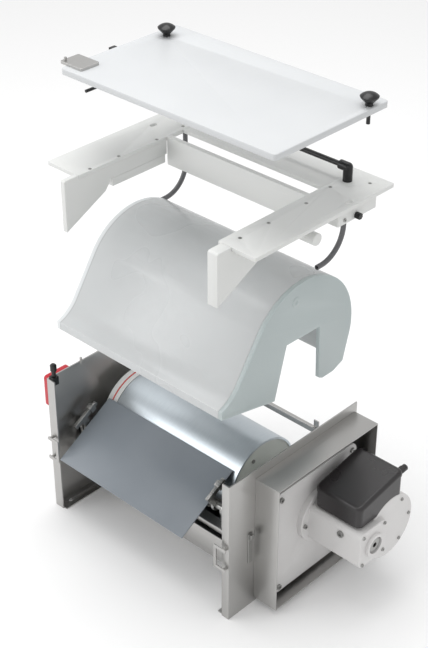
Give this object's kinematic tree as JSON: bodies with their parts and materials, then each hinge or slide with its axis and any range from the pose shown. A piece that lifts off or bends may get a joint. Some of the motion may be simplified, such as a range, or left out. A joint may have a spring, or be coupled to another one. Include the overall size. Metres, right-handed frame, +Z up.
{
  "type": "scraped drum ice machine",
  "caption": "Opened-up scraped drum machine: steel base with a gearmotor-driven drum and discharge plate, arched hood, top frame and flat lid with knobs.",
  "frame": {"origin": "centre of the base bolt pattern, on the floor under the side plates", "axes": "+Z up; +X along the drum towards the gearmotor; -Y towards the discharge side"},
  "size_m": [0.834, 0.461, 1.1094],
  "materials": {
    "stainless_sheet": "brushed, satin",
    "drum_steel": "fine ground, satin to bright",
    "white_board": "milled polyethylene, satin",
    "hood_plastic": "milky, slightly translucent, satin gloss",
    "hood_end_plastic": "milky grey, satin",
    "drum_end_plastic": "moulded, satin",
    "slate_plate": "satin powder coat",
    "cast_paint": "light grey enamel on casting",
    "dark_motor": "dark grey enamel",
    "steel_parts": "turned and ground",
    "black_plastic": "moulded, satin",
    "pipe_plastic": "drawn, satin",
    "red_plastic": "moulded, glossy",
    "red_rubber": "moulded lip seal"
  },
  "bodies": {
    "root": {"left_side_plate": "stainless_sheet", "right_side_plate": "stainless_sheet", "rear_rail": "stainless_sheet", "bottom_tie_bar": "stainless_sheet", "water_trough": "stainless_sheet", "trough_drain": "white_board", "scraper_cross_rail": "stainless_sheet", "pivot_lugs": "steel_parts", "left_bearing_housing": "steel_parts", "right_bearing_housing": "steel_parts", "drum_bearings": "steel_parts", "left_end_rings": "white_board", "red_end_seal": "red_rubber", "rotary_union": "steel_parts", "drive_pan": "stainless_sheet", "gear_mounting_plate": "cast_paint", "gear_housing": "cast_paint", "gear_case": "cast_paint", "motor_body": "dark_motor", "terminal_box": "dark_motor", "drive_fasteners": "steel_parts", "switch_base": "red_plastic", "plunger_bracket": "black_plastic", "latch_keepers": "stainless_sheet", "hood_rests": "stainless_sheet"},
    "drum": {"drum_shell": "drum_steel", "drum_left_end": "drum_end_plastic", "drum_right_end": "drum_end_plastic", "drum_end_screws": "steel_parts", "drum_shaft": "steel_parts"},
    "rotor": {"motor_rotor": "steel_parts"},
    "scraper": {"discharge_plate": "slate_plate", "scraper_blade": "steel_parts", "scraper_carrier": "steel_parts", "scraper_pins": "steel_parts", "scraper_arms": "steel_parts", "arm_blocks": "steel_parts", "arm_tips": "steel_parts"},
    "switch": {"switch_handle": "red_plastic"},
    "plunger": {"index_plunger": "black_plastic"},
    "hood": {"hood_shell": "hood_plastic", "hood_right_end": "hood_end_plastic"},
    "top_frame": {"left_flange": "white_board", "right_flange": "white_board", "rear_panel": "white_board", "left_skirt": "white_board", "right_skirt": "white_board", "rear_beam": "white_board", "side_rails": "white_board", "frame_legs": "white_board", "bent_pipes": "pipe_plastic", "pipe_elbows": "black_plastic", "cross_pipe": "black_plastic", "frame_screws": "steel_parts"},
    "frame_knob": {"leg_knob": "black_plastic"},
    "lid": {"lid_plate": "white_board", "sensor_plate": "stainless_sheet", "interlock_rod": "black_plastic"},
    "left_knob": {"left_lid_knob": "black_plastic"},
    "right_knob": {"right_lid_knob": "black_plastic"}
  },
  "joints": [
    {"name": "drum_spin", "type": "hinge", "parent": "root", "child": "drum", "pos_m": [0, 0.031, 0.183], "axis": [1, 0, 0], "continuous": true},
    {"name": "rotor_spin", "type": "hinge", "parent": "root", "child": "rotor", "pos_m": [0.39, 0.105, 0.177], "axis": [1, 0, 0], "continuous": true},
    {"name": "scraper_tilt", "type": "hinge", "parent": "root", "child": "scraper", "pos_m": [0, -0.115, 0.19795], "axis": [1, 0, 0], "range_deg": [0, 12]},
    {"name": "switch_turn", "type": "hinge", "parent": "root", "child": "switch", "pos_m": [-0.3, -0.165, 0.318], "axis": [1, 0, 0], "range_deg": [0, 90]},
    {"name": "plunger_pull", "type": "slide", "parent": "root", "child": "plunger", "axis": [0, 0, 1], "range_m": [0, 0.008], "stiffness_N_per_m": 400, "springref_m": -0.006},
    {"name": "hood_lift", "type": "slide", "parent": "root", "child": "hood", "axis": [0, 0, 1], "range_m": [-0.349, 0]},
    {"name": "top_frame_lift", "type": "slide", "parent": "hood", "child": "top_frame", "axis": [0, 0, 1], "range_m": [-0.0966, 0]},
    {"name": "frame_knob_turn", "type": "hinge", "parent": "top_frame", "child": "frame_knob", "pos_m": [0.279, 0.161, 0.844], "axis": [1, 0, 0], "continuous": true},
    {"name": "lid_lift", "type": "slide", "parent": "top_frame", "child": "lid", "axis": [0, 0.2674, 0.9636], "range_m": [-0.18327, 0]},
    {"name": "left_knob_turn", "type": "hinge", "parent": "lid", "child": "left_knob", "pos_m": [-0.238, 0.15, 1.082], "axis": [0, 0, 1], "continuous": true},
    {"name": "right_knob_turn", "type": "hinge", "parent": "lid", "child": "right_knob", "pos_m": [0.291, 0.165, 1.082], "axis": [0, 0, 1], "continuous": true}
  ],
  "couplings": [
    {"joint": "rotor_spin", "follows": "drum_spin", "ratio": -20}
  ]
}
